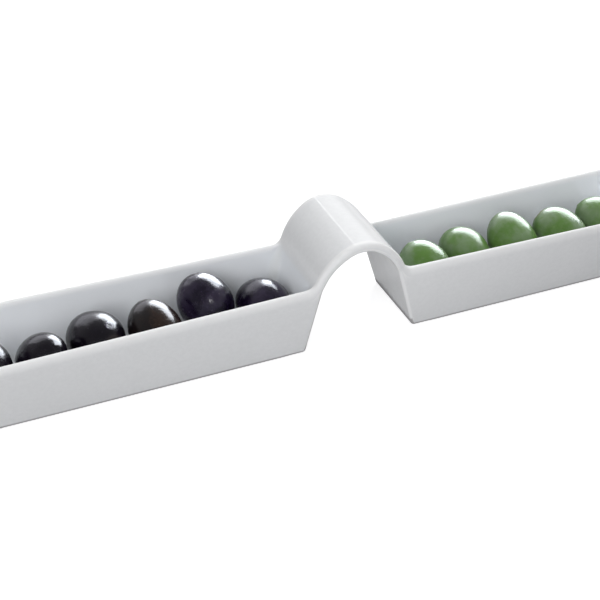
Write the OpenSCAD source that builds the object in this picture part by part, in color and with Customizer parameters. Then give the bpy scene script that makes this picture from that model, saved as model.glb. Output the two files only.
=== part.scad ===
// Twin olive dish in glazed porcelain: two slender troughs in one line, joined by a bridge.
// The bridge is a strap as wide as the troughs. It rises out of both inner end walls and arches
// over an open gap, so it also serves as the handle. Loose olives lie in a row in each trough,
// dark ones on the left and green ones on the right, and the outer stretches are left free.
// X runs along the dish, Y across it and Z up. The origin is on the table, under the middle
// of the bridge. Lengths are in millimetres and angles in degrees.

/* [Troughs] */
// Length over both outer rims
overall_l = 400; // [372:1:460]
// Height of the rim above the table
rim_h = 30; // [28:0.5:34]
// Width of a trough at the table
base_w = 37; // [36:0.5:42]
// Width over the rim beside the bridge
rim_w = 41.7; // [40:0.1:46]
// Width over the rim at the outer end
end_rim_w = 50.4; // [42:0.1:56]
// Lean of the outer end walls from upright
end_lean = 14.4; // [8:0.1:18]
// Thickness of the side walls and the outer end walls
wall_t = 3; // [2.4:0.1:3.6]
// Height of the trough's floor above the table
floor_t = 5; // [4:0.1:6]

/* [Bridge] */
// Clear gap between the two troughs at the table
gap_w = 48.6; // [46:0.2:56]
// Clear height under the middle of the bridge
arch_h = 44; // [42:0.2:50]
// Thickness of the strap and of the inner end walls that it grows out of
strap_t = 3.5; // [2.8:0.1:4.2]
// Width of the strap at its crest
crest_w = 45.8; // [42:0.2:50]
// Lean of the inner end walls from upright
bridge_lean = 14.4; // [12:0.1:16]
// Radius of the crown's underside
crown_r = 10.7; // [8:0.1:12]
// Half of the angle that the crown's arc sweeps
crown_half_angle = 30; // [26:0.5:34]
// Radius of the hollow curve from the rim up to the bridge
saddle_r = 5; // [3:0.1:6]

/* [Edges] */
// Radius of the edges round the base and along the strap
edge_r = 1.2; // [0.6:0.1:1.4]
// Radius of the upright outer corners at the outer ends
end_corner_r = 4; // [3:0.1:5]
// Radius of the fillet round the floor and up the inner corners
fillet_r = 4; // [3:0.1:5]
// How much thicker a side wall is at its foot than at its lip
foot_gain = 0.4; // [0.2:0.1:0.8]

/* [Olives] */
// Length of a middling dark olive
dark_l = 26; // [24:0.1:27]
// Width of a middling dark olive
dark_w = 22; // [20:0.1:22.5]
// Length of a middling green olive
green_l = 26; // [24:0.1:27]
// Width of a middling green olive
green_w = 22; // [20:0.1:23]
// Clearance of an olive from the dish and from the next olive
seat_gap = 0.3; // [0.2:0.05:0.5]

/* [Hidden] */

// One row per olive, from the bridge outwards. Each holds the share of the length, the share
// of the width, the heading and the tilt of its long axis, the share of the free room beside
// it that it has moved to the back, and the share of its width that it stands off the last one.
// The heading is turned from the trough's outward direction, towards the back of the dish.
dark_shares = [
    [1.05, 0.93,  70, -17,  0.25, 0.00],
    [1.06, 1.05,  10,  64,  1.00, 0.00],
    [1.06, 1.00,  70,  40, -0.94, 0.00],
    [1.03, 1.03,  65, -15,  0.31, 0.00],
    [1.08, 0.90, 240,  48, -0.70, 0.00],
    [1.01, 0.98, 125,  55, -1.00, 0.00]
];
green_shares = [
    [0.99, 1.02, 125,  50, -1.00, 0.03],
    [1.02, 0.96, 105,  16,  0.34, 0.00],
    [1.10, 0.98, 100,  40, -0.27, 0.00],
    [1.06, 0.98, 125,  30, -0.54, 0.03],
    [1.03, 0.95, 130,  24,  0.10, 0.01]
];

// Number of steps in each stretch of the dish's long section, and in each round edge
crown_steps = 4;
shoulder_steps = 3;
saddle_steps = 5;
leg_steps = 3;
bend_steps = 4;
floor_steps = 4;
end_wall_steps = 3;
lip_steps = 3;
edge_steps = 3;
olive_steps = 24;
olive_fn = 48;

trough_end = overall_l / 2;
bridge_root = gap_w / 2;
crest_z = arch_h + strap_t;
// Share of the wall that each side of the rounded lip takes
lip_share = 0.45;
lip_r = lip_share * wall_t;
lip_z = rim_h - lip_r;

function between(a, b, share) = a + (b - a) * share;
function heading(a) = [cos(a), sin(a)];

// Half width over the outside at a point of the long section. The side walls are ruled from a
// straight base line to a rim that widens outwards, and the strap widens up to its crest.
function rim_y(x) =
    between(rim_w, end_rim_w, max(0, (abs(x) - bridge_root) / (trough_end - bridge_root))) / 2;
function side_y(x, z) =
    z < rim_h ? between(base_w / 2, rim_y(x), z / rim_h)
              : between(rim_y(x), crest_w / 2, (z - rim_h) / (crest_z - rim_h));

// The underside of the bridge has three centres. The crown's arc meets a shoulder's arc, and
// that one runs out into the leaning inner end wall. The shoulder's radius follows from them.
shoulder_start = 90 - crown_half_angle;
crown_z = arch_h - crown_r;
wall_reach = bridge_root * cos(bridge_lean) - crown_z * sin(bridge_lean);
turn_share = cos(shoulder_start - bridge_lean);
shoulder_r = (wall_reach - turn_share * crown_r) / (1 - turn_share);
crown_centre = [0, crown_z];
shoulder_centre = crown_centre + (crown_r - shoulder_r) * heading(shoulder_start);
function crown(a, out) = crown_centre + (crown_r + out) * heading(a);
function shoulder(a, out) = shoulder_centre + (shoulder_r + out) * heading(a);

// The hollow curve by which the rim of a side wall sweeps up into the top of the strap
saddle_rise = rim_h + saddle_r - shoulder_centre[1];
saddle_span = sqrt(pow(shoulder_r + strap_t + saddle_r, 2) - pow(saddle_rise, 2));
saddle_centre = shoulder_centre + [saddle_span, saddle_rise];
saddle_start = atan2(saddle_rise, saddle_span);
function saddle(a) = saddle_centre - saddle_r * heading(a);

// A bend of radius r between the level z and a leaning end wall. The wall's face is given by its
// distance from the origin, and way is 1 for the inner end wall and -1 for the outer one.
function bend_centre(way, lean, face, z, r) =
    [way * (face + r - (z + r) * sin(lean)) / cos(lean), z + r];
function bend(way, lean, face, z, r, a) =
    bend_centre(way, lean, face, z, r) - r * [way * cos(a), sin(a)];
inner_face = bridge_root * cos(bridge_lean);
outer_face = lip_z * sin(end_lean) - trough_end * cos(end_lean);
function inner_bend(out, z, r, a) = bend(1, bridge_lean, inner_face + out, z, r, a);
function outer_bend(out, z, r, a) =
    bend(-1, end_lean, outer_face + out * cos(end_lean), z, r, a);
// A bend is rounder than the edge or the fillet that runs into it, by this share
bend_share = 1.25;
base_bend_r = bend_share * edge_r;
end_bend_r = bend_share * end_corner_r;
floor_bend_r = bend_share * fillet_r;
floor_start = inner_bend(strap_t, floor_t, floor_bend_r, 90)[0];
floor_end = outer_bend(wall_t, floor_t, floor_bend_r, 90)[0];
// The edge along the base softens over this length before it meets the outer end's corners
soft_l = 4 * end_corner_r;

// The outer end's lip, and where the crest of a side wall's lip ends beside it
function end_outside(turn) =
    [trough_end - lip_r * (1 - cos(turn)), rim_h - lip_r * (1 - sin(turn))];
function end_inside(turn) = end_outside(turn) - [wall_t - 2 * lip_r * (1 - cos(turn)), 0];
crest_end = trough_end - wall_t - 2 * fillet_r;
last_turn = 75;
lip_run = 2 * lip_r;

// One station holds the point on the dish's outside, the point on its inside and the crest of
// the side wall's lip, all in the long section, then the angles of the directions through the
// wall and out of the lip, the radius of the outer edge, and how far the end lip has closed.
crown_stations = [
    for (i = [0 : crown_steps]) let (a = between(90, shoulder_start, i / crown_steps))
        [crown(a, 0), crown(a, strap_t), crown(a, strap_t), a, a, edge_r, 0]
];
shoulder_stations = [
    for (i = [1 : shoulder_steps])
        let (a = between(shoulder_start, saddle_start, i / shoulder_steps))
        [shoulder(a, 0), shoulder(a, strap_t), shoulder(a, strap_t), a, a, edge_r, 0]
];
saddle_stations = [
    for (i = [1 : saddle_steps])
        let (a = between(saddle_start, bridge_lean, i / saddle_steps),
             b = between(saddle_start, 90, i / saddle_steps))
        [shoulder(a, 0), shoulder(a, strap_t), saddle(b), a, b, edge_r, 0]
];
// From here the crest of the lip runs level, and keeps pace with the wall below it
inner_steps = leg_steps + bend_steps;
leg_stations = [
    for (i = [1 : leg_steps]) let (a = bridge_lean, s = i / leg_steps)
        [between(shoulder(a, 0), inner_bend(0, 0, base_bend_r, a), s),
         between(shoulder(a, strap_t), inner_bend(strap_t, floor_t, floor_bend_r, a), s),
         [between(saddle_centre[0], floor_start, i / inner_steps), rim_h], a, 90, edge_r, 0]
];
inner_bend_stations = [
    for (i = [1 : bend_steps]) let (a = between(bridge_lean, 90, i / bend_steps))
        [inner_bend(0, 0, base_bend_r, a), inner_bend(strap_t, floor_t, floor_bend_r, a),
         [between(saddle_centre[0], floor_start, (leg_steps + i) / inner_steps), rim_h],
         a, 90, edge_r, 0]
];
floor_stations = [
    for (i = [1 : floor_steps]) let (x = between(floor_start, floor_end - soft_l, i / floor_steps))
        [[x, 0], [x, floor_t], [x, rim_h], 90, 90, edge_r, 0]
];
outer_steps = bend_steps + end_wall_steps;
outer_bend_stations = [
    for (i = [0 : bend_steps]) let (a = between(90, end_lean, i / bend_steps))
        [outer_bend(0, 0, end_bend_r, a), outer_bend(wall_t, floor_t, floor_bend_r, a),
         [between(floor_end, crest_end, i / outer_steps), rim_h],
         180 - a, 90, end_corner_r, 0]
];
end_wall_stations = [
    for (i = [1 : end_wall_steps]) let (a = end_lean, s = i / end_wall_steps)
        [between(outer_bend(0, 0, end_bend_r, a), end_outside(0), s),
         between(outer_bend(wall_t, floor_t, floor_bend_r, a), end_inside(0), s),
         [between(floor_end, crest_end, (bend_steps + i) / outer_steps), rim_h],
         180 - a * (1 - s), 90, end_corner_r, 0]
];
lip_stations = [
    for (i = [1 : lip_steps]) let (s = i / lip_steps, turn = last_turn * s)
        [end_outside(turn), end_inside(turn), [crest_end + lip_run * s, rim_h],
         180, 90, end_corner_r, turn]
];
half_stations = concat(crown_stations, shoulder_stations, saddle_stations, leg_stations,
                       inner_bend_stations, floor_stations, outer_bend_stations,
                       end_wall_stations, lip_stations);

// Half of the ring of points round the wall at a station, from the middle of its outside over
// the lip to the middle of its inside. Where there is no side wall above the strap, the inside
// of the lip and the fillet lie flat in the strap's top.
function skin_point(p, inset) = [p[0], side_y(p[0], p[1]) - inset, p[1]];
function half_ring(s) =
    let (rise = norm(s[2] - s[1]), through = heading(s[3]), lip_out = heading(s[4]), r = s[5],
         turn = s[6], closed = lip_r * (1 - cos(turn)), inner_lip = min(lip_r, rise / 3),
         fillet = min(fillet_r, rise / 2))
    concat(
        [for (k = [0 : edge_steps]) let (t = 90 * k / edge_steps)
            skin_point(s[0] + r * (1 - cos(t)) * through, closed + r * (1 - sin(t)))],
        [for (k = [0 : edge_steps]) let (t = between(turn, 90, k / edge_steps))
            skin_point(s[2] - lip_r * (1 - sin(t)) * lip_out, lip_r * (1 - cos(t)))],
        [for (k = [0 : edge_steps]) let (t = between(90, turn, k / edge_steps))
            skin_point(s[2] - inner_lip * (1 - sin(t)) * lip_out, wall_t - lip_r * (1 - cos(t)))],
        [for (k = [0 : edge_steps]) let (t = 90 * k / edge_steps)
            skin_point(s[1] + fillet * (1 - sin(t)) * through,
                       wall_t + foot_gain - closed + fillet_r * (1 - cos(t)))]
    );
half_count = 4 * (edge_steps + 1);
ring_count = 2 * half_count;
function ring(half) =
    concat(half, [for (k = [half_count - 1 : -1 : 0]) [half[k][0], -half[k][1], half[k][2]]]);
right_rings = [for (s = half_stations) ring(half_ring(s))];
left_rings = [
    for (k = [len(right_rings) - 1 : -1 : 1]) [for (p = right_rings[k]) [-p[0], p[1], p[2]]]
];
rings = concat(left_rings, right_rings);
last = len(rings) - 1;

// Faces between neighbouring rings, and the strips that close the two end lips. The diagonals
// run alike in all four quarters of the dish, and fan out from its corners.
function quad(a, b, c, d) = [[a, b, c], [a, c, d]];
skin_faces = [
    for (i = [0 : last - 1], j = [0 : ring_count - 1])
        let (k = (j + 1) % ring_count, low = i * ring_count, high = low + ring_count,
             inside = floor(2 * j / half_count) % 2 == 1)
        each inside != (2 * i < last) ? quad(high + j, high + k, low + k, low + j)
                                      : quad(low + j, high + j, high + k, low + k)
];
function strip(k, over) =
    let (first = over ? ring_count - 1 - k : k, far = over ? half_count + k : half_count - 1 - k,
         way = over ? -1 : 1)
    [first, first + way, far - way, far];
strips = [
    for (k = [0 : half_count / 2 - 2], over = [false, true])
        let (q = strip(k, over)) over ? [q[3], q[2], q[1], q[0]] : q,
    [ring_count - 1, 0, half_count - 1, half_count]
];
end_faces = [
    for (q = strips) each quad(q[0], q[1], q[2], q[3]),
    for (q = strips) let (m = last * ring_count) each quad(m + q[3], m + q[2], m + q[1], m + q[0])
];

module porcelain_dish()
    color("white") polyhedron([for (r = rings) each r], concat(skin_faces, end_faces), convexity = 6);

// How far an olive reaches from its centre in a unit direction, from its half length, half
// width and the direction of its long axis
function reach(olive, way) =
    sqrt(pow(olive[0] * (olive[2] * way), 2) + pow(olive[1], 2) * (1 - pow(olive[2] * way, 2)));
function olive_of(row, l, w) =
    [l * row[0] / 2, w * row[1] / 2,
     [cos(row[3]) * cos(row[2]), cos(row[3]) * sin(row[2]), sin(row[3])]];

// Places of the olives in one trough. Each rests on the floor. The first one stands off the
// leaning end wall, and every other one stands off the olive before it.
along = [1, 0, 0];
up = [0, 0, 1];
end_wall_out = [cos(bridge_lean), 0, sin(bridge_lean)];
function seat_z(olive) = floor_t + seat_gap + reach(olive, up);
function seat_x(shares, l, w, k) =
    let (olive = olive_of(shares[k], l, w), gap = seat_gap + shares[k][5] * w)
    k == 0
        ? (inner_face + strap_t + gap + reach(olive, end_wall_out)
           - seat_z(olive) * sin(bridge_lean)) / cos(bridge_lean)
        : seat_x(shares, l, w, k - 1) + reach(olive_of(shares[k - 1], l, w), along)
          + gap + reach(olive, along);
function seat_y(olive, share, x) =
    let (slope = (rim_y(x) - base_w / 2) / rim_h, run = sqrt(1 + slope * slope),
         wall_out = [0, (share < 0 ? -1 : 1) / run, -slope / run],
         room = base_w / 2 - wall_t + slope * seat_z(olive)
                - run * (reach(olive, wall_out) + seat_gap))
    share * max(0, room);

// Half of an olive's outline, on its long axis
function olive_outline(half_l, half_w) =
    [for (i = [0 : olive_steps]) let (t = 180 * i / olive_steps) [half_w * sin(t), half_l * cos(t)]];

module olive(shares, l, w, k) {
    row = shares[k];
    body = olive_of(row, l, w);
    x = seat_x(shares, l, w, k);
    translate([x, seat_y(body, row[4], x), seat_z(body)]) rotate([0, 90 - row[3], row[2]])
        rotate_extrude($fn = olive_fn) polygon(olive_outline(body[0], body[1]));
}

module dark_olive(k) color([0.15, 0.12, 0.15]) mirror([1, 0, 0]) olive(dark_shares, dark_l, dark_w, k);

module green_olive(k) color([0.40, 0.50, 0.24]) olive(green_shares, green_l, green_w, k);

porcelain_dish();
for (k = [0 : len(dark_shares) - 1])
    dark_olive(k);
for (k = [0 : len(green_shares) - 1])
    green_olive(k);
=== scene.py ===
"""Looks of a twin olive dish: glazed porcelain troughs under an arched bridge, with loose olives.

Lengths inside the classes are in millimetres unless a class says otherwise, and meshes are in metres.
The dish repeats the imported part's outline in finer steps, and every olive takes its place and size
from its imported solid.
"""

import logging
import math
from dataclasses import dataclass, field, fields, replace
from enum import Enum
from typing import Any

import bpy
import numpy as np
from mathutils import Matrix, Vector


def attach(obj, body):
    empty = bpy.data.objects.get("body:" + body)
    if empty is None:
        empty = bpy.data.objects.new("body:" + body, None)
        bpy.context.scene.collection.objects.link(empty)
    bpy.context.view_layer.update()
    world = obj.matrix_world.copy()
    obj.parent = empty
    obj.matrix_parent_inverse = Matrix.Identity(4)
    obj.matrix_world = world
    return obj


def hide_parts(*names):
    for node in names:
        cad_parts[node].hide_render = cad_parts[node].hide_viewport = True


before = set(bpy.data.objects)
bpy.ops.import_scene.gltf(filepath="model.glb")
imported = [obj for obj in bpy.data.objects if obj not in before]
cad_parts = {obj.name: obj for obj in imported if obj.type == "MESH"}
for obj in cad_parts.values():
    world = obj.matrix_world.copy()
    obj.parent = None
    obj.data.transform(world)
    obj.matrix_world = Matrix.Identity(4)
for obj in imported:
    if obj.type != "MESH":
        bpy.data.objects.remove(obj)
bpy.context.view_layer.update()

LOG = logging.getLogger("olive_dish")
MM = 0.001
UP = math.pi / 2
Array = np.ndarray
Socket = bpy.types.NodeSocket
Colour = tuple[float, float, float]


def heading(angle: Array) -> Array:
    """Unit vectors in the X and Z plane at angles from +X, as cosine and sine on a last axis."""
    return np.stack([np.cos(angle), np.sin(angle)], axis=-1)


def smooth_step(share: Array) -> Array:
    """Eases shares, which are clipped to the range from 0 to 1, by 3 t^2 - 2 t^3."""
    t = np.clip(share, 0.0, 1.0)
    return t * t * (3.0 - 2.0 * t)


def between(start: Any, end: Any, share: Any) -> Any:
    """Numbers or points at shares of the way from a start to an end: start + (end - start) share."""
    return start + (end - start) * share


def level_points(x: Array, z: float) -> Array:
    """Points of the long section at one height."""
    return np.stack([x, np.full_like(x, z)], axis=-1)


def mesh_object(name: str, points: Array, faces: Array, masks: dict[str, Array]) -> bpy.types.Object:
    """Makes a smooth-shaded object at the origin from arrays of points and faces.

    Args:
        name: The name of the piece.
        points: Points in metres, one per row.
        faces: Quads or triangles, one per row. A quad whose last two corners agree is a triangle.
        masks: Point attributes by name, each with one value per point.

    Returns:
        The new object, linked to the scene.
    """
    mesh = bpy.data.meshes.new(name)
    triangle = faces[:, 2] == faces[:, 3]
    mesh.from_pydata(points, [], [*faces[~triangle].tolist(), *faces[triangle][:, :3].tolist()])
    mesh.shade_smooth()
    for mask_name, values in masks.items():
        attribute = mesh.attributes.new(mask_name, "FLOAT", "POINT")
        attribute.data.foreach_set("value", values.astype(np.float32))
    mesh.validate()
    piece = bpy.data.objects.new(name, mesh)
    bpy.context.scene.collection.objects.link(piece)
    return piece


def grid_faces(rows: int, columns: int) -> Array:
    """Quads between the neighbours of a grid whose columns close into rings.

    Args:
        rows: Number of rings.
        columns: Number of points in each ring.

    Returns:
        Corner numbers, four to a row.
    """
    row, column = np.meshgrid(np.arange(rows - 1), np.arange(columns), indexing="ij")
    after = (column + 1) % columns
    corners = (row * columns + column, (row + 1) * columns + column,
               (row + 1) * columns + after, row * columns + after)
    return np.stack(corners, axis=-1).reshape(-1, 4)


class Tree:
    """A thin layer over a node tree that adds and links nodes in one call."""

    def __init__(self, tree: bpy.types.NodeTree) -> None:
        """Keeps the tree and clears it."""
        self.tree = tree
        self.tree.nodes.clear()

    def add(self, kind: str, inputs: dict[str | int, Any] | None = None, **settings: Any) -> bpy.types.Node:
        """Adds a node and fills in its sockets.

        Args:
            kind: The node's type, such as ShaderNodeMix.
            inputs: Values or output sockets by the name or number of the input that they go into.
            **settings: Properties of the node itself.

        Returns:
            The new node.
        """
        node = self.tree.nodes.new(kind)
        for name, value in settings.items():
            setattr(node, name, value)
        for key, value in (inputs or {}).items():
            if isinstance(value, Socket):
                self.tree.links.new(value, node.inputs[key])
            else:
                node.inputs[key].default_value = value
        return node

    def math(self, operation: str, *values: Any, clamp: bool = False) -> Socket:
        """Adds a Math node on numbers or sockets and returns its output."""
        node = self.add("ShaderNodeMath", dict(enumerate(values)), operation=operation, use_clamp=clamp)
        return node.outputs[0]

    def times(self, first: Any, second: Any) -> Socket:
        """Adds a Math node that multiplies two numbers or sockets and returns its output."""
        return self.math("MULTIPLY", first, second)

    def vector_math(self, operation: str, *values: Any, out: str = "Vector") -> Socket:
        """Adds a Vector Math node and returns the named output."""
        return self.add("ShaderNodeVectorMath", dict(enumerate(values)), operation=operation).outputs[out]

    def ramp(self, value: Any, low: Any, high: Any, to_low: Any = 0.0, to_high: Any = 1.0) -> Socket:
        """Adds a smooth Map Range from low and high to the two new limits and returns its output."""
        inputs = {"Value": value, "From Min": low, "From Max": high, "To Min": to_low, "To Max": to_high}
        return self.add("ShaderNodeMapRange", inputs, interpolation_type="SMOOTHSTEP").outputs["Result"]

    def mix(self, share: Any, first: Any, second: Any) -> Socket:
        """Adds a colour Mix node and returns its output. Its colours are the inputs 6 and 7."""
        sides = (side if isinstance(side, Socket) else (*side, 1.0) for side in (first, second))
        return self.add("ShaderNodeMix", dict(zip((0, 6, 7), (share, *sides))), data_type="RGBA").outputs[2]

    def bump(self, strength: float, depth: float, relief: Socket) -> Socket:
        """Adds a Bump node with a depth in metres and returns its normal."""
        return self.add("ShaderNodeBump", {
            "Strength": strength, "Distance": depth, "Height": relief}).outputs["Normal"]

    def split(self, vector: Socket) -> Any:
        """Adds a Separate XYZ node and returns its outputs."""
        return self.add("ShaderNodeSeparateXYZ", {0: vector}).outputs

    def attribute(self, name: str) -> Socket:
        """Adds an Attribute node for a point mask and returns its value."""
        return self.add("ShaderNodeAttribute", attribute_name=name).outputs["Fac"]

    def place_in(self) -> Socket:
        """Adds a Texture Coordinate node and returns Object coordinates."""
        return self.add("ShaderNodeTexCoord").outputs["Object"]

    def effect(self, group: bpy.types.NodeTree, **inputs: Any) -> Any:
        """Places a shared effect, with values or sockets by input name, and returns its outputs."""
        return self.add("ShaderNodeGroup", inputs, node_tree=group).outputs

    def surface(self, shader: Socket) -> None:
        """Adds the material's output for a shader."""
        self.add("ShaderNodeOutputMaterial", {"Surface": shader})


def start_material(name: str) -> tuple[bpy.types.Material, Tree]:
    """Makes an empty material and returns it with its tree."""
    material = bpy.data.materials.new(name)
    material.use_nodes = True
    return material, Tree(material.node_tree)


@dataclass(frozen=True)
class Effect:
    """A shader node group with named inputs and outputs that several finishes share.

    An input without a starting value is a vector, and the others are numbers.
    """

    name: str
    inputs: dict[str, float | None]
    outputs: tuple[str, ...]

    def begin(self) -> tuple[Tree, dict[str, Socket]]:
        """Makes the group with its sockets.

        Returns:
            The group's tree and its input sockets by name.
        """
        group = bpy.data.node_groups.new(self.name, "ShaderNodeTree")
        for name, start in self.inputs.items():
            kind = "NodeSocketVector" if start is None else "NodeSocketFloat"
            socket = group.interface.new_socket(name, in_out="INPUT", socket_type=kind)
            if start is not None:
                socket.default_value = start
        for name in self.outputs:
            group.interface.new_socket(name, in_out="OUTPUT", socket_type="NodeSocketFloat")
        tree = Tree(group)
        return tree, {socket.name: socket for socket in tree.add("NodeGroupInput").outputs if socket.name}


class Effects:
    """The shared effects, each built once."""

    def __init__(self) -> None:
        """Builds the groups."""
        self.mottle = self._mottle()
        self.pores = self._pores()
        self.scar = self._scar()

    @staticmethod
    def _mottle() -> bpy.types.NodeTree:
        """Soft patches: noise on a vector, eased between two limits."""
        effect = Effect("Mottle", {"Vector": None, "Scale": 100.0, "Detail": 2.0, "Low": 0.4, "High": 0.6},
                        ("Mask", "Raw"))
        tree, given = effect.begin()
        noise = tree.add("ShaderNodeTexNoise", {name: given[name] for name in ("Vector", "Scale", "Detail")})
        raw = noise.outputs["Fac"]
        tree.add("NodeGroupOutput", {"Mask": tree.ramp(raw, given["Low"], given["High"]), "Raw": raw})
        return tree.tree

    @staticmethod
    def _pores() -> bpy.types.NodeTree:
        """Small pale pores of the skin: the cores of scattered cells, some of them left out."""
        effect = Effect("Pores", {"Vector": None, "Scale": 500.0, "Size": 0.2, "Share": 0.4}, ("Mask",))
        tree, given = effect.begin()
        cells = tree.add("ShaderNodeTexVoronoi", {name: given[name] for name in ("Vector", "Scale")}).outputs
        core = tree.ramp(cells["Distance"], 0.0, given["Size"], 1.0, 0.0)
        pick = tree.add("ShaderNodeSeparateColor", {0: cells["Color"]}).outputs[0]
        kept = tree.math("LESS_THAN", pick, given["Share"])
        tree.add("NodeGroupOutput", {"Mask": tree.times(core, kept)})
        return tree.tree

    @staticmethod
    def _scar() -> bpy.types.NodeTree:
        """A healed scar: a rim and a core around a centre, by the distance from it in wavy radii."""
        effect = Effect("Scar", {"Vector": None, "Centre": None, "Radius": 0.001}, ("Rim", "Core"))
        wave_scale, wave = 1400.0, 0.9
        core, rise, fall = (0.1, 0.4), (0.45, 0.8), (0.95, 1.3)
        tree, given = effect.begin()
        noise = tree.add("ShaderNodeTexNoise", {
            "Vector": given["Vector"], "Scale": wave_scale, "Detail": 1.0})
        away = tree.vector_math("DISTANCE", given["Vector"], given["Centre"], out="Value")
        share = tree.math("DIVIDE", away, given["Radius"])
        bent = tree.math("ADD", share, tree.math("MULTIPLY_ADD", noise.outputs["Fac"], wave, -wave / 2))
        rim = tree.times(tree.ramp(bent, *rise), tree.ramp(bent, *fall, 1.0, 0.0))
        tree.add("NodeGroupOutput", {"Rim": rim, "Core": tree.ramp(bent, *core, 1.0, 0.0)})
        return tree.tree


@dataclass(frozen=True)
class Mottle:
    """Settings of a mottle: its scale per metre, its detail and the limits that it is eased between."""

    scale: float
    detail: float
    low: float = 0.4
    high: float = 0.6

    def over(self, tree: Tree, effects: Effects, place_in: Socket) -> Any:
        """Places the mottle on a vector and returns its outputs, Mask and Raw."""
        return tree.effect(effects.mottle, Vector=place_in, Scale=self.scale, Detail=self.detail,
                           Low=self.low, High=self.high)


@dataclass(frozen=True)
class Porcelain:
    """White glazed porcelain: an even body under a clear glaze that is thin on edges, with painted highlight,
    shade and light on it.

    Each share says how strongly a layer covers those below it. The foot is bare and painted dark up to
    foot_h, as bare biscuit and painted contact shade, and where X is below the limits of leg_x that
    height is divided by leg_share, which paints a taller band of shade on the end walls under the bridge.
    """

    body: Colour = (0.87, 0.88, 0.895)
    # Lighter colour on rims, edges and the strap's sides: thin glaze and painted highlight.
    thin_highlight: Colour = (0.95, 0.955, 0.96)
    # Darker tone for random clouds, and for painted shade with pooled glaze in inner corners and bends.
    pooled_shade: Colour = (0.81, 0.83, 0.835)
    # Dark line round the foot: bare biscuit and painted contact shade.
    biscuit_shade: Colour = (0.46, 0.45, 0.46)
    fleck: Colour = (0.80, 0.81, 0.825)
    # Painted light: the inside of the troughs is painted lighter and bluer.
    inside: Colour = (0.905, 0.935, 0.975)
    clouds: Mottle = Mottle(38.0, 3.0, 0.3, 0.7)
    flecks: Mottle = Mottle(620.0, 2.0, 0.25, 0.75)
    ripples: Mottle = Mottle(55.0, 1.0)
    peel: Mottle = Mottle(900.0, 1.0)
    cloud_share: float = 0.25
    fleck_share: float = 0.45
    inside_light_share: float = 0.9
    pooled_shade_share: float = 0.6
    thin_highlight_share: float = 0.9
    peel_share: float = 0.02
    bump_share: float = 0.35
    bump_depth: float = 0.4
    roughness: float = 0.07
    roughness_range: float = 0.08
    biscuit_roughness: float = 0.7
    ior: float = 1.5
    foot_h: float = 1.7
    foot_fade: float = 0.6
    # Under the bridge the dark foot line reaches higher: painted shade.
    leg_x: tuple[float, float] = (23.9, 25.0)
    leg_share: float = 0.37

    def material(self, effects: Effects) -> bpy.types.Material:
        """Builds the material.

        Args:
            effects: The shared effects.

        Returns:
            The porcelain material.
        """
        material, tree = start_material("white_porcelain")
        place_in = tree.place_in()
        mottles = (self.clouds, self.flecks, self.ripples, self.peel)
        cloud, fleck, ripple, peel = (mottle.over(tree, effects, place_in) for mottle in mottles)
        colour: Any = self.body
        for mask, share, layer in (
                (cloud["Mask"], self.cloud_share, self.pooled_shade),
                (fleck["Mask"], self.fleck_share, self.fleck),
                # The inside of the troughs painted lighter and bluer as painted light.
                (tree.attribute("inside"), self.inside_light_share, self.inside),
                # Inner corners and bends painted darker: pooled glaze and painted shade.
                (tree.attribute("pooled_shade"), self.pooled_shade_share, self.pooled_shade),
                # Rims, edges and the strap's sides painted lighter: thin glaze and painted highlight.
                (tree.attribute("thin_highlight"), self.thin_highlight_share, self.thin_highlight)):
            colour = tree.mix(tree.times(mask, share), colour, layer)
        # The dark foot line: bare biscuit and painted contact shade, taller under the bridge as painted
        # shade.
        foot = self.bare_foot_shade(tree, place_in)
        relief = tree.math("ADD", ripple["Raw"], tree.times(peel["Raw"], self.peel_share))
        lowest = self.roughness - self.roughness_range / 2
        glaze = tree.math("MULTIPLY_ADD", cloud["Raw"], self.roughness_range, lowest)
        shader = tree.add("ShaderNodeBsdfPrincipled", {
            "Base Color": tree.mix(foot, colour, self.biscuit_shade),
            "Roughness": tree.math("MAXIMUM", glaze, tree.times(foot, self.biscuit_roughness)),
            "IOR": self.ior, "Normal": tree.bump(self.bump_share, self.bump_depth * MM, relief)})
        tree.surface(shader.outputs["BSDF"])
        return material

    def bare_foot_shade(self, tree: Tree, place_in: Socket) -> Socket:
        """Mask of the unglazed line round the foot, by the height above the table. It is painted dark as bare
        biscuit and contact shade, and reaches higher on the end walls under the bridge as painted shade.

        Args:
            tree: The material's tree.
            place_in: Object coordinates.

        Returns:
            The mask, 1 where the body is bare.
        """
        x, _, z = tree.split(place_in)
        start, end = (size * MM for size in self.leg_x)
        closer = tree.ramp(tree.math("ABSOLUTE", x), start, end, self.leg_share, 1.0)
        top = self.foot_h * MM
        line = tree.ramp(tree.times(z, closer), self.foot_fade * top, top, 1.0, 0.0)
        return tree.times(line, tree.math("SUBTRACT", 1.0, tree.attribute("recessed")))


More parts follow.
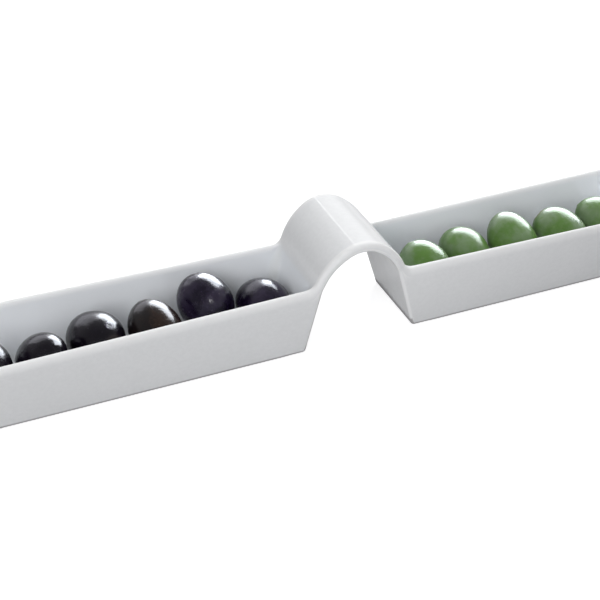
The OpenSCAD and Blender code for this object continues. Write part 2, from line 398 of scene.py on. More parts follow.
@dataclass(frozen=True)
class OliveSkin:
    """Firm oily olive skin with soft patches, pores and a paler stem end.

    Cast is the colour that the skin shows to the matt surfaces round it. Heights are shares of the
    bump's depth, the flesh's radii are shares of its depth, and the stem end starts at a share of
    the length.
    """

    name: str
    body: Colour
    patch: Colour
    pore: Colour
    stem: Colour
    cast: Colour
    patch_share: float
    pore_share: float
    roughness: float
    grain_h: float
    flesh: float
    ior: float
    clouds: Mottle = Mottle(75.0, 3.0, 0.42, 0.60)
    spots: Mottle = Mottle(420.0, 3.0, 0.45, 0.70)
    wrinkles: Mottle = Mottle(260.0, 4.0)
    dents: Mottle = Mottle(95.0, 1.0)
    grains: Mottle = Mottle(1100.0, 2.0)
    spot_share: float = 0.35
    cast_share: float = 0.7
    stem_from: float = 0.955
    pore_scale: float = 700.0
    pore_size: float = 0.16
    pores_kept: float = 0.5
    wrinkle_h: float = 0.16
    pore_h: float = 0.03
    scar_share: float = 0.8
    scar_rim_h: float = 0.30
    scar_core_h: float = 0.28
    roughness_range: float = 0.08
    bump_share: float = 0.5
    bump_depth: float = 0.7
    flesh_radius: Colour = (0.6, 1.0, 0.3)
    flesh_depth: float = 1.2

    def material(self, effects: Effects, piece: str, scars: list[tuple[Vector, float]]) -> bpy.types.Material:
        """Builds the material of one olive.

        Args:
            effects: The shared effects.
            piece: The olive's name.
            scars: Centre and radius of each scar, in metres.

        Returns:
            The olive's material.
        """
        material, tree = start_material(f"{self.name}_{piece}")
        place_in = tree.place_in()
        cloud, spot, wrinkle, dent, grain = (
            mottle.over(tree, effects, place_in)
            for mottle in (self.clouds, self.spots, self.wrinkles, self.dents, self.grains))
        pores = tree.effect(effects.pores, Vector=place_in, Scale=self.pore_scale, Size=self.pore_size,
                            Share=self.pores_kept)["Mask"]
        share = tree.math("MULTIPLY_ADD", spot["Mask"], self.spot_share, cloud["Mask"])
        colour = tree.mix(tree.math("MULTIPLY", share, self.patch_share, clamp=True), self.body, self.patch)
        colour = tree.mix(tree.times(pores, self.pore_share), colour, self.pore)
        colour = tree.mix(tree.ramp(tree.attribute("along"), self.stem_from, 1.0), colour, self.stem)
        to_matt = tree.add("ShaderNodeLightPath").outputs["Is Diffuse Ray"]
        colour = tree.mix(tree.times(to_matt, self.cast_share), colour, self.cast)
        relief = tree.math("MULTIPLY_ADD", wrinkle["Raw"], self.wrinkle_h, dent["Raw"])
        relief = tree.math("MULTIPLY_ADD", grain["Raw"], self.grain_h, relief)
        relief = tree.math("SUBTRACT", relief, tree.times(pores, self.pore_h))
        for centre, radius in scars:
            scar = tree.effect(effects.scar, Vector=place_in, Centre=centre, Radius=radius)
            colour = tree.mix(tree.times(scar["Rim"], self.scar_share), colour, self.pore)
            relief = tree.math("ADD", relief, tree.times(scar["Rim"], self.scar_rim_h))
            relief = tree.math("SUBTRACT", relief, tree.times(scar["Core"], self.scar_core_h))
        shader = tree.add("ShaderNodeBsdfPrincipled", {
            "Base Color": colour, "IOR": self.ior, "Subsurface Weight": self.flesh,
            "Roughness": tree.math("MULTIPLY_ADD", spot["Mask"], self.roughness_range, self.roughness),
            "Subsurface Radius": self.flesh_radius, "Subsurface Scale": self.flesh_depth * MM,
            "Normal": tree.bump(self.bump_share, self.bump_depth * MM, relief)})
        tree.surface(shader.outputs["BSDF"])
        return material


BLACK_SKIN = OliveSkin(
    "black_skin", body=(0.0030, 0.0018, 0.0050), patch=(0.0085, 0.0058, 0.0122), pore=(0.06, 0.055, 0.08),
    stem=(0.03, 0.022, 0.02), cast=(0.008, 0.008, 0.010), patch_share=0.6, pore_share=0.2, roughness=0.20,
    grain_h=0.20, flesh=0.0, ior=1.43)
PLUM_SKIN = replace(
    BLACK_SKIN, name="plum_skin", body=(0.0042, 0.0020, 0.0105), patch=(0.0280, 0.0210, 0.0430),
    patch_share=0.75)
BROWN_SKIN = replace(
    BLACK_SKIN, name="brown_skin", body=(0.0065, 0.0045, 0.0050), patch=(0.024, 0.013, 0.009),
    pore=(0.07, 0.055, 0.05), patch_share=0.8)
GREEN_SKIN = OliveSkin(
    "green_skin", body=(0.096, 0.190, 0.044), patch=(0.180, 0.252, 0.145), pore=(0.26, 0.34, 0.20),
    stem=(0.17, 0.15, 0.07), cast=(0.14, 0.145, 0.145), patch_share=0.7, pore_share=0.25, roughness=0.28,
    grain_h=0.18, flesh=0.10, ior=1.35)


@dataclass
class Stations:
    """Sections along half of the dish, from the bridge's crest to the outer end.

    Outside, inside and crest hold X and Z of the outside's middle, of the inside's middle and of the
    crest of the side wall's lip. Through and lip_out are the directions through the wall and out of
    the lip, edge is the radius of the outer edge, lip_h is how far down the outside the lip's round
    reaches, and turn is how far the end lip has closed. The last field says how strongly the inside
    of a bend is painted darker: pooled glaze and painted shade.
    """

    outside: Array
    inside: Array
    crest: Array
    through: Array
    lip_out: Array
    edge: Array
    lip_h: Array
    turn: Array
    pooled_shade: Array

    @classmethod
    def block(cls, outside: Array, inside: Array, crest: Array, through: Any, lip_out: Any, edge: Any,
              lip_h: Any, turn: Any = 0.0, pooled_shade: Any = 0.0) -> "Stations":
        """Makes one stretch of sections, where a single value stands for all of them."""
        values = (np.broadcast_to(value, len(outside)).astype(float)
                  for value in (through, lip_out, edge, lip_h, turn, pooled_shade))
        return cls(outside, inside, crest, *values)

    @classmethod
    def joined(cls, blocks: list["Stations"]) -> "Stations":
        """Joins stretches end to end."""
        names = [part.name for part in fields(cls)]
        return cls(*(np.concatenate([getattr(block, name) for block in blocks]) for name in names))


@dataclass
class PorcelainDish:
    """The dish: two troughs and the bridge between them, one fired body. Lengths are in millimetres.

    From its crest down, the bridge has a crown, a shoulder and a saddle, which ends in the leg.
    Where the side wall is low, the outer lip takes lip_share of its height, and the inner lip and
    the fillet take no more than its height divided by lip_parts and by fillet_parts. The base edge
    changes its radius over first_run and last_run, in corner radii.
    """

    overall_l: float = 400.0
    rim_h: float = 30.0
    base_w: float = 37.5
    rim_w: float = 42.6
    end_rim_w: float = 49.6
    end_lean: float = math.radians(14.4)
    wall_t: float = 3.0
    floor_t: float = 5.0
    gap_w: float = 48.0
    arch_h: float = 43.8
    strap_t: float = 3.5
    crest_w: float = 46.7
    bridge_lean: float = math.radians(14.4)
    crown_r: float = 11.7
    crown_half_angle: float = math.radians(30.5)
    saddle_r: float = 4.5
    saddle_run: float = 3.5
    crown_gain: float = 0.4
    strap_edge_r: float = 0.8
    corner_r: float = 1.45
    base_r: float = 1.2
    least_side: float = 0.2
    end_corner_r: float = 4.0
    fillet_r: float = 4.0
    foot_gain: float = 0.4
    lip_face: float = 1.35
    out_lip_w: float = 1.9
    out_lip_h: float = 4.0
    strap_lip_h: float = 2.4
    lip_share: float = 0.62
    in_lip_h: float = 2.4
    lip_parts: float = 3.0
    fillet_parts: float = 2.0
    bend_share: float = 1.15
    first_run: float = 3.0
    last_run: float = 4.0
    foot_w: float = 3.0
    foot_fade: float = 1.5
    recess: float = 0.5
    last_turn: float = math.radians(82.0)
    saddle_tries: int = 6
    face_weight: int = 80
    steps: dict[str, int] = field(default_factory=lambda: {
        "crown": 20, "shoulder": 14, "saddle": 20, "leg": 10, "bend": 9, "floor": 40, "soft": 8,
        "end_wall": 8, "lip": 8, "edge": 8, "side": 7, "across": 10})

    def __post_init__(self) -> None:
        """Works out the sizes that follow from the driving ones."""
        self.share = {name: np.arange(1.0, count + 1.0) / count for name, count in self.steps.items()}
        self.end_x = self.overall_l / 2
        self.root_x = self.gap_w / 2
        self.crest_z = self.arch_h + self.strap_t
        self.in_lip_w = self.wall_t - self.out_lip_w
        self.shoulder_start = UP - self.crown_half_angle
        crown_z = self.arch_h - self.crown_r
        reach = self.root_x * math.cos(self.bridge_lean) - crown_z * math.sin(self.bridge_lean)
        turned = math.cos(self.shoulder_start - self.bridge_lean)
        self.shoulder_r = (reach - turned * self.crown_r) / (1 - turned)
        self.crown_centre = np.array([0.0, crown_z])
        step = self.crown_r - self.shoulder_r
        self.shoulder_centre = self.crown_centre + step * heading(np.array(self.shoulder_start))
        rise = self.rim_h + self.saddle_r - self.shoulder_centre[1]
        self.saddle_start = self.bridge_lean
        for _ in range(self.saddle_tries):
            reach = self.shoulder_r + float(self.strap_at(np.array(self.saddle_start))) + self.saddle_r
            self.saddle_start = math.asin(rise / reach)
        self.saddle_centre = self.shoulder_centre + reach * heading(np.array(self.saddle_start))
        self.inner_face = self.root_x * math.cos(self.bridge_lean)
        self.lip_z = self.rim_h - self.lip_face
        self.outer_face = self.lip_z * math.sin(self.end_lean) - self.end_x * math.cos(self.end_lean)
        level = np.array([UP])
        self.floor_start, self.floor_end = (float(self.bend(side, level)[1][0, 0]) for side in (True, False))

    def side_y(self, x: Array, z: Array) -> Array:
        """Half width over the outside: ruled from the base line to the rim, then out to the crest.

        Args:
            x: Distances from the middle of the bridge.
            z: Heights above the table.

        Returns:
            Half widths.
        """
        share = np.clip((np.abs(x) - self.root_x) / (self.end_x - self.root_x), 0.0, None)
        rim = between(self.rim_w, self.end_rim_w, share) / 2
        below = self.base_w / 2 + (rim - self.base_w / 2) * z / self.rim_h
        above = rim + (self.crest_w / 2 - rim) * (z - self.rim_h) / (self.crest_z - self.rim_h)
        return np.where(z <= self.rim_h, below, above)

    def strap_at(self, angle: Array) -> Array:
        """Thickness of the bridge by its normal's angle. The gain falls with the square of the way down."""
        down = (UP - angle) / (UP - self.bridge_lean)
        return self.strap_t + self.crown_gain * (1 - np.clip(down, 0, 1) ** 2)

    def strap_sides(self, centre: Array, radius: float, angle: Array) -> tuple[Array, Array]:
        """Points under and over the strap, on an arc and its thickness further out."""
        under = centre + radius * heading(angle)
        return under, under + self.strap_at(angle)[:, None] * heading(angle)

    def bend(self, at_bridge: bool, angle: Array) -> list[Array]:
        """Outside and inside of the bend between the bottom of a trough and an end wall.

        Each arc's centre lies its radius above the level and its radius behind the wall's face.

        Args:
            at_bridge: Whether the end wall is the one at the bridge.
            angle: Angles of the wall's normal from +X, in radians.

        Returns:
            Points in the long section for the outside and the inside.
        """
        if at_bridge:
            way, lean, face, corner_r = 1.0, self.bridge_lean, self.inner_face, self.corner_r
            thickness = self.strap_t
        else:
            way, lean, face, corner_r = -1.0, self.end_lean, self.outer_face, self.end_corner_r
            thickness = self.wall_t * math.cos(lean)
        sides = []
        for behind, level, radius in ((0.0, 0.0, corner_r), (thickness, self.floor_t, self.fillet_r)):
            radius *= self.bend_share
            centre_x = way * (face + behind + radius - (level + radius) * math.sin(lean)) / math.cos(lean)
            x, z = centre_x - way * radius * np.cos(angle), level + radius - radius * np.sin(angle)
            sides.append(np.stack([x, z], axis=-1))
        return sides

    @staticmethod
    def wall_sides(starts: list[Array], ends: list[Array], share: Array) -> list[Array]:
        """Straight outside and inside of an end wall, at shares of the way between two bends."""
        return [between(start[-1], end[0], share[:, None]) for start, end in zip(starts, ends)]

    def rim_points(self, start: float, end: float, count: int) -> Array:
        """Even steps along the rim's crest, without its start."""
        return level_points(between(start, end, np.arange(1, count + 1) / count), self.rim_h)

    def bridge_stations(self) -> list[Stations]:
        """Sections of half of the strap: its crown, its shoulder and its saddle.

        In the saddle the wall's crest swings from the strap's top to the rim round the saddle's
        centre, while the outside runs on round the shoulder and then straight down the leg.

        Returns:
            One block for each.
        """
        angle = UP - self.crown_half_angle * np.concatenate([[0.0], self.share["crown"]])
        under, top = self.strap_sides(self.crown_centre, self.crown_r, angle)
        crown = Stations.block(under, top, top, angle, angle, self.strap_edge_r, self.strap_lip_h)

        angle = between(self.shoulder_start, self.saddle_start, self.share["shoulder"])
        under, top = self.strap_sides(self.shoulder_centre, self.shoulder_r, angle)
        edge = between(self.strap_edge_r, self.corner_r, smooth_step(self.share["shoulder"]))
        shoulder = Stations.block(under, top, top, angle, angle, edge, self.strap_lip_h)

        share = self.share["saddle"]
        turned = self.shoulder_r * (self.saddle_start - self.bridge_lean)
        run = (turned + self.saddle_run) * share
        round_to = self.saddle_start - np.minimum(run, turned) / self.shoulder_r
        under = self.strap_sides(self.shoulder_centre, self.shoulder_r, round_to)[0]
        under = under + np.clip(run - turned, 0.0, None)[:, None] * heading(np.array(self.bridge_lean - UP))
        angle = between(self.saddle_start, self.bridge_lean, share)
        over = self.strap_sides(self.shoulder_centre, self.shoulder_r, angle)[1]
        lip_angle = between(self.saddle_start, UP, share)
        crest = self.saddle_centre - self.saddle_r * heading(lip_angle)
        wall_h = np.linalg.norm(crest - under, axis=1)
        lip_h = np.clip(self.lip_share * wall_h, self.strap_lip_h, self.out_lip_h)
        saddle = Stations.block(under, over, crest, angle, lip_angle, self.corner_r, lip_h)
        return [crown, shoulder, saddle]

    def leg_stations(self, saddle: Stations) -> list[Stations]:
        """Sections down the inner end wall and round its bend into the floor.

        Args:
            saddle: The block before them.

        Returns:
            One block for each.
        """
        leg_steps, bend_steps = self.steps["leg"], self.steps["bend"]
        rim = self.rim_points(self.saddle_centre[0], self.floor_start, leg_steps + bend_steps)
        bend_start = self.bend(True, np.array([self.bridge_lean]))
        leg = Stations.block(
            *self.wall_sides([saddle.outside, saddle.inside], bend_start, self.share["leg"]),
            rim[:leg_steps], self.bridge_lean, UP, self.corner_r, self.out_lip_h)
        angle = between(self.bridge_lean, UP, self.share["bend"])
        # The last value paints the inside of the bend darker: pooled glaze and painted shade.
        bend = Stations.block(*self.bend(True, angle), rim[leg_steps:], angle, UP, self.corner_r,
                              self.out_lip_h, 0.0, np.sin(math.pi * self.share["bend"]))
        return [leg, bend]

    def floor_stations(self) -> list[Stations]:
        """Sections along the trough, whose base edge softens towards the outer end.

        Returns:
            Blocks of the first, the level and the last stretch.
        """
        ease = smooth_step(self.share["soft"])
        first_end = self.floor_start + self.first_run * self.corner_r
        last_start = self.floor_end - self.last_run * self.end_corner_r
        blocks = []
        for start, end, share, radius in (
                (self.floor_start, first_end, "soft", between(self.corner_r, self.base_r, ease)),
                (first_end, last_start, "floor", self.base_r),
                (last_start, self.floor_end, "soft", between(self.base_r, self.end_corner_r, ease))):
            x = between(start, end, self.share[share])
            rows = (level_points(x, z) for z in (0.0, self.floor_t, self.rim_h))
            blocks.append(Stations.block(*rows, UP, UP, radius, self.out_lip_h))
        return blocks

    def end_stations(self) -> list[Stations]:
        """Sections round the outer bend, up the outer end wall and over its lip.

        Returns:
            One block for each.
        """
        crest_end = self.end_x - self.wall_t - 2 * self.fillet_r
        bend_steps = self.steps["bend"]
        rim = self.rim_points(self.floor_end, crest_end, bend_steps + self.steps["end_wall"])
        angle = between(UP, self.end_lean, self.share["bend"])
        sides = self.bend(False, angle)
        # The last value paints the inside of the bend darker: pooled glaze and painted shade.
        bend = Stations.block(*sides, rim[:bend_steps], math.pi - angle, UP, self.end_corner_r,
                              self.out_lip_h, 0.0, np.sin(math.pi * self.share["bend"]))
        share = self.share["end_wall"]
        wall = Stations.block(*self.wall_sides(sides, self.end_lip(np.zeros(1)), share), rim[bend_steps:],
                              math.pi - self.end_lean * (1 - share), UP, self.end_corner_r, self.out_lip_h)
        turn = self.last_turn * self.share["lip"]
        crest = self.rim_points(crest_end, crest_end + 2 * self.lip_face, self.steps["lip"])
        lip = Stations.block(*self.end_lip(turn), crest, math.pi, UP, self.end_corner_r,
                             self.out_lip_h, turn)
        return [bend, wall, lip]

    def end_lip(self, turn: Array) -> list[Array]:
        """Outside and inside of the end wall's lip, both quarter ellipses sheared with the wall's lean.

        Args:
            turn: How far the lip has turned over, in radians.

        Returns:
            Points in the long section for the outside and the inside.
        """
        sides = []
        for width, height, start, way in ((self.out_lip_w, self.out_lip_h, 0.0, -1.0),
                                          (self.in_lip_w, self.in_lip_h, -self.wall_t, 1.0)):
            z = self.rim_h - height * (1 - np.sin(turn))
            face = self.end_x + start + (z - self.lip_z) * math.tan(self.end_lean)
            sides.append(np.stack([face + way * width * (1 - np.cos(turn)), z], axis=-1))
        return sides

    def stations(self) -> Stations:
        """Sections along the half of the dish on the +X side, with edges that leave room for the lip.

        Returns:
            The joined sections.
        """
        blocks = self.bridge_stations()
        leg, bend = self.leg_stations(blocks[-1])
        blocks.append(leg)
        for block in blocks:
            room = np.linalg.norm(block.crest - block.outside, axis=1) - block.lip_h
            block.edge = np.minimum(block.edge, room - self.least_side)
        return Stations.joined([*blocks, bend, *self.floor_stations(), *self.end_stations()])

    def half_rings(self, at: Stations) -> tuple[Array, dict[str, Array]]:
        """Rings round the wall on the +Y side, from the outside's middle to the inside's middle.

        Every point has X, Z and an inset from the outside's half width. A rounding by the angle t
        runs r (1 - cos t) along one direction and r (1 - sin t) along the other. The straight sides
        between two roundings are cut into even steps, and so is the way to the middle.

        Args:
            at: The sections.

        Returns:
            Points as an array of rings, and by name the masks of thin glaze with painted highlight, of pooled
            glaze with painted shade, of painted light inside and of recessed glaze.
        """
        side_steps, across = self.steps["side"], self.steps["across"]
        step = (np.arange(1, side_steps) / side_steps)[None, :]
        t = np.linspace(0.0, UP, self.steps["edge"] + 1)[None, :]
        from_cos, from_sin = 1 - np.cos(t), 1 - np.sin(t)
        turn, edge = at.turn[:, None], at.edge[:, None]
        lip_t = turn + (UP - turn) * t / UP
        out_closed, in_closed = self.out_lip_w * (1 - np.cos(turn)), self.in_lip_w * (1 - np.cos(turn))
        rise = np.linalg.norm(at.crest - at.inside, axis=1)[:, None]
        inner_lip_h = np.minimum(self.in_lip_h, rise / self.lip_parts)
        fillet = np.minimum(self.fillet_r, rise / self.fillet_parts)
        through, lip_out = heading(at.through)[:, None, :], heading(at.lip_out)[:, None, :]
        has_wall = smooth_step(rise / self.fillet_r)
        spread = self.foot_gain * (1 - has_wall)

        def rounding(start: Array, size: Array, way: Array, inset: Array) -> Array:
            """Points from a start, a way and the sizes along it, with their insets."""
            spot = start[:, None, :] + size[:, :, None] * way
            return np.concatenate([spot, np.broadcast_to(inset, size.shape)[:, :, None]], axis=2)

        def straight(first: Array, last: Array) -> Array:
            """Even steps between two points of each ring, without its ends."""
            return between(first[:, None, :], last[:, None, :], step[:, :, None])

        outer_edge = rounding(at.outside, edge * from_cos, through, out_closed + edge * from_sin)
        outer_lip = rounding(at.crest, -at.lip_h[:, None] * (1 - np.sin(lip_t)), lip_out,
                             self.out_lip_w * (1 - np.cos(lip_t)))
        inner_t = lip_t[:, -2::-1]
        inner_lip = rounding(at.crest, -inner_lip_h * (1 - np.sin(inner_t)), lip_out,
                             self.wall_t - self.in_lip_w * (1 - np.cos(inner_t)))
        corner_z = at.inside[:, 1:] + fillet * through[:, 0, 1:]
        corner = rounding(at.inside, fillet * from_sin, through,
                          self.inner_inset(corner_z) + spread - in_closed + self.fillet_r * from_cos)
        inner_side = straight(inner_lip[:, -1], corner[:, 0])
        inner_side[:, :, 2] = self.inner_inset(inner_side[:, :, 1]) + spread * step - in_closed
        x, z, inset = np.moveaxis(np.concatenate([
            outer_edge, straight(outer_edge[:, -1], outer_lip[:, 0]), outer_lip, inner_lip, inner_side,
            corner], axis=1), 2, 0)
        points = np.stack([x, self.side_y(x, z) - inset, z], axis=2)
        shares = (np.arange(across) / across)[None, :, None]
        middle_out, middle_in = points[:, :1] * [1, 0, 1], points[:, -1:] * [1, 0, 1]
        under = between(middle_out, points[:, :1], shares)
        over = between(middle_in, points[:, -1:], shares)[:, ::-1]
        recessed = self.under_foot(under[:, :, 0], under[:, :, 1], at)
        under[:, :, 2] += self.recess * recessed
        masks = self.masks(t[0], has_wall, at.pooled_shade[:, None])
        masks["recessed"] = self.padded(recessed, masks["thin_highlight"])
        return np.concatenate([under, points, over], axis=1), masks

    def masks(self, t: Array, has_wall: Array, pooled_shade: Array) -> dict[str, Array]:
        """Masks round each ring: thin glaze with painted highlight, pooled glaze with painted shade, and
        painted light inside.

        Args:
            t: Angles of the roundings.
            has_wall: Share of the side wall's height, one to a ring.
            pooled_shade: How strongly the inside of a bend is painted darker, as pooled glaze and painted
                shade, one to a ring.

        Returns:
            The masks by name.
        """
        hump, side, across = np.sin(2 * t), np.zeros(self.steps["side"] - 1), np.zeros(self.steps["across"])
        lip = t[1:]
        outer = np.concatenate([across, hump, side, np.sin(t)])
        none = 0 * np.concatenate([outer, lip])
        # Lighter along the lips and edge roundings: thin glaze and painted highlight.
        thin_highlight = np.concatenate([outer, np.cos(lip), side, 0 * hump, across])
        # Darker in the inner corner fillet: pooled glaze and painted shade.
        pool_shade = np.concatenate([none, side, hump, across])
        low = np.concatenate([none, side, 1 + 0 * hump, 1 + across])
        # The inside of the troughs, painted lighter and bluer as painted light.
        inside = np.concatenate([0 * outer, np.sin(lip), 1 + side, 1 + 0 * hump, 1 + across])
        # The strap's front and back faces, where there is no wall, painted lighter as a painted highlight.
        strap_side = np.concatenate([across, 0 * hump, 1 + side]) * (1 - has_wall)
        return {"thin_highlight": thin_highlight + self.padded(strap_side, thin_highlight),
                "pooled_shade": np.maximum(pool_shade * has_wall, pooled_shade * low),
                "inside": inside * has_wall}

    @staticmethod
    def padded(mask: Array, whole: Array) -> Array:
        """A mask over the first points of each ring, with zeros for the rest of them."""
        return np.pad(mask, ((0, 0), (0, whole.shape[-1] - mask.shape[-1])))

    def inner_inset(self, z: Array) -> Array:
        """Inset of the inside of a side wall at a height: the wall thickens evenly towards its foot."""
        top, foot = self.rim_h - self.in_lip_h, self.floor_t + self.fillet_r
        return self.wall_t + self.foot_gain * np.clip((top - z) / (top - foot), 0, 1)

    def under_foot(self, x: Array, y: Array, at: Stations) -> Array:
        """Share of the shallow recess under a trough, which leaves a flat foot ring round it.

        Args:
            x: X of points on the base.
            y: Y of the same points.
            at: The sections, whose level stretch is the base.

        Returns:
            Shares from 0 on the foot ring to 1 inside it.
        """
        level = at.outside[:, 1] < MM
        start, end = at.outside[level, 0].min(), at.outside[level, 0].max()
        flat_y = self.base_w / 2 - self.base_r
        room = np.minimum(np.minimum(x - start, end - x), flat_y - np.abs(y))
        return smooth_step((room - self.foot_w) / self.foot_fade) * level[:, None]

    def build(self) -> bpy.types.Object:
        """Mirrors the half rings across and along the dish and closes both end lips.

        Returns:
            The dish.
        """
        half, masks = self.half_rings(self.stations())
        count = half.shape[1]
        ring = np.concatenate([half, half[:, -2:0:-1] * [1, -1, 1]], axis=1)
        rings = np.concatenate([ring[:0:-1] * [-1, 1, 1], ring])
        across = {name: np.concatenate([mask, mask[:, -2:0:-1]], axis=1) for name, mask in masks.items()}
        whole = {name: np.concatenate([mask[:0:-1], mask]).ravel() for name, mask in across.items()}
        around, last = ring.shape[1], len(rings) - 1
        k = np.arange(count // 2)
        lip = np.stack([count - 1 - k, k, k + 1, count - 2 - k], axis=-1)
        over, flip = (around - lip) % around, [1, 0, 3, 2]
        close = np.concatenate([lip[:, flip], over])
        faces = np.concatenate([grid_faces(last + 1, around), close, close[:, flip] + last * around])
        dish = mesh_object("porcelain_dish_glazed", rings.reshape(-1, 3) * MM, faces, whole)
        dish.modifiers.new("even_faces", "WEIGHTED_NORMAL").weight = self.face_weight
        return dish


@dataclass(frozen=True)
class Scar:
    """A small healed scar, placed where the ray through a pixel meets the olive."""

    pixel: tuple[float, float]
    radius: float


@dataclass
class Olive:
    """One loose olive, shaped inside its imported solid. Lengths are in millimetres.

    Taper makes the stem end fuller than the other. Taper_level is the cosine of the latitude that
    keeps its width, and taper_room is the share of the taper by which the whole becomes slimmer.
    Waves holds how often each wave of the skin turns along and round it. Their strengths lie
    between least_wave and 1, and their phases between 0 and last_phase.
    """

    node: str
    skin: OliveSkin
    stem_up: bool = True
    taper: float = 0.03
    scars: tuple[Scar, ...] = ()
    seed: int = 1
    rows: int = 96
    columns: int = 144
    dimple_depth: float = 0.7
    dimple_width: float = 0.14
    tip_h: float = 0.25
    tip_width: float = 0.10
    taper_level: float = 0.3
    taper_room: float = 0.35
    lump: float = 0.12
    waves: tuple[tuple[int, int], ...] = ((1, 2), (2, 3), (3, 1), (2, 5), (5, 2))
    least_wave: float = 0.4
    last_phase: float = 6.3

    def measure(self) -> None:
        """Finds the centre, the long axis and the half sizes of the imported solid."""
        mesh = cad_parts[self.node].data
        co = np.empty(len(mesh.vertices) * 3)
        mesh.vertices.foreach_get("co", co)
        co = co.reshape(-1, 3) / MM
        self.centre = (co.min(axis=0) + co.max(axis=0)) / 2
        offset = co - self.centre
        values, vectors = np.linalg.eigh(offset.T @ offset)
        odd = 2 if values[2] - values[1] > values[1] - values[0] else 0
        axis = vectors[:, odd]
        self.axis = axis * (1.0 if (axis[2] > 0) == self.stem_up else -1.0)
        along = offset @ self.axis
        self.half_l = float(np.abs(along).max())
        self.half_w = float(np.linalg.norm(offset - along[:, None] * self.axis, axis=1).max())

    def build(self) -> bpy.types.Object:
        """Shapes the olive over latitude u and longitude v, with a stem dimple and a low tip.

        The outline is half_w sin u across and half_l cos u along. Slow waves in both directions make
        the skin uneven, always inwards.

        Returns:
            The olive.
        """
        rng = np.random.default_rng(self.seed)
        u = np.linspace(0.0, math.pi, self.rows + 1)[1:-1, None]
        v = np.linspace(0.0, 2 * math.pi, self.columns, endpoint=False)[None, :]
        waves = sum(rng.uniform(self.least_wave, 1.0) * np.cos(a * u + rng.uniform(0, self.last_phase))
                    * np.cos(b * v + rng.uniform(0, self.last_phase)) * np.sin(u) for a, b in self.waves)
        inwards = self.lump * (waves / np.abs(waves).max() - 1)
        fuller = 1 + self.taper * (np.cos(u) - self.taper_level)
        radial = self.half_w * fuller / (1 + self.taper_room * self.taper) * np.sin(u) + inwards * np.sin(u)
        dimple = self.dimple_depth * np.exp(-((u / self.dimple_width) ** 2))
        tip = self.tip_h * np.exp(-(((math.pi - u) / self.tip_width) ** 2))
        long = (self.half_l - self.tip_h) * np.cos(u) - dimple - tip + 0 * v
        side = np.cross(self.axis, [0.0, 0.0, 1.0])
        side = side / np.linalg.norm(side)
        third = np.cross(self.axis, side)
        points = (self.centre + long[..., None] * self.axis + (radial * np.cos(v))[..., None] * side
                  + (radial * np.sin(v))[..., None] * third)
        stem_at = self.half_l - self.tip_h - self.dimple_depth
        ends = [self.centre + self.axis * level for level in (stem_at, -self.half_l)]
        ring = np.arange(self.columns)
        after, last, count = (ring + 1) % self.columns, (self.rows - 2) * self.columns, long.size
        fans = [np.stack([first, second, 0 * ring + end, 0 * ring + end], axis=-1)
                for first, second, end in ((ring, after, count), (last + after, last + ring, count + 1))]
        along = np.concatenate([np.broadcast_to((1 + np.cos(u)) / 2, long.shape).ravel(), [1.0, 0.0]])
        return mesh_object(
            f"{self.node}_skin", np.concatenate([points.reshape(-1, 3), ends]) * MM,
            np.concatenate([grid_faces(self.rows - 1, self.columns), *fans]), {"along": along})

    def spot(self, view: "View", scar: Scar) -> Vector:
        """Where the ray through a scar's pixel first meets the olive, in metres.

        The olive is taken as its ellipsoid. In space squeezed along the axis that is a ball, so the
        nearer root of a quadratic gives the distance.

        Args:
            view: The camera.
            scar: The scar.

        Returns:
            The point in metres.
        """
        start, way = view.ray(scar.pixel)
        start = start / MM - self.centre
        along = np.outer(self.axis, self.axis)
        squeeze = np.eye(3) / self.half_w + along * (1 / self.half_l - 1 / self.half_w)
        p, d = squeeze @ start, squeeze @ way
        half_b, a, c = p @ d, d @ d, p @ p - 1
        distance = (-half_b - math.sqrt(max(half_b ** 2 - a * c, 0.0))) / a
        return Vector((self.centre + start + distance * way) * MM)


@dataclass
class View:
    """The camera at the photograph's angle. Its frame is square, and clip is in metres."""

    azimuth: float = math.radians(20.3)
    elevation: float = math.radians(33.28)
    roll: float = math.radians(-1.92)
    target: tuple[float, float, float] = (-18.86, 0.0, 13.0)
    distance: float = 498.2
    focal_pixels: float = 1200.0
    frame_pixels: float = 600.0
    sensor: float = 36.0
    clip: tuple[float, float] = (0.01, 20.0)

    def __post_init__(self) -> None:
        """Works out the camera's axes and place."""
        sin_a, cos_a = math.sin(self.azimuth), math.cos(self.azimuth)
        sin_e, cos_e = math.sin(self.elevation), math.cos(self.elevation)
        self.forward = np.array([sin_a * cos_e, cos_a * cos_e, -sin_e])
        right = np.array([cos_a, -sin_a, 0.0])
        up = np.cross(right, self.forward)
        cos_r, sin_r = math.cos(self.roll), math.sin(self.roll)
        self.right, self.up = cos_r * right + sin_r * up, cos_r * up - sin_r * right
        self.place = (np.array(self.target) - self.forward * self.distance) * MM

    def ray(self, pixel: tuple[float, float]) -> tuple[Array, Array]:
        """Start and unit direction of the ray through a pixel of the square frame."""
        across, down = (np.array(pixel) - self.frame_pixels / 2) / self.focal_pixels
        way = self.forward + self.right * across - self.up * down
        return self.place, way / np.linalg.norm(way)

    def build(self) -> None:
        """Adds the camera and makes it the scene's."""
        data = bpy.data.cameras.new("camera")
        data.sensor_width = self.sensor
        data.lens = self.sensor * self.focal_pixels / self.frame_pixels
        data.clip_start, data.clip_end = self.clip
        camera = bpy.data.objects.new("camera", data)
        rows = np.stack([self.right, self.up, -self.forward, self.place], axis=1)
        camera.matrix_world = Matrix([*rows.tolist(), [0.0, 0.0, 0.0, 1.0]])
        bpy.context.scene.collection.objects.link(camera)
        bpy.context.scene.camera = camera


class Seen(Enum):
    """What a lamp lights: matt colour alone, or reflections alone."""

    MATT = "matt"
    GLOSS = "gloss"


class Lit(Enum):
    """Which pieces a lamp lights."""

    ALL = "all"
    OLIVES = "olives"
    DISH = "dish"


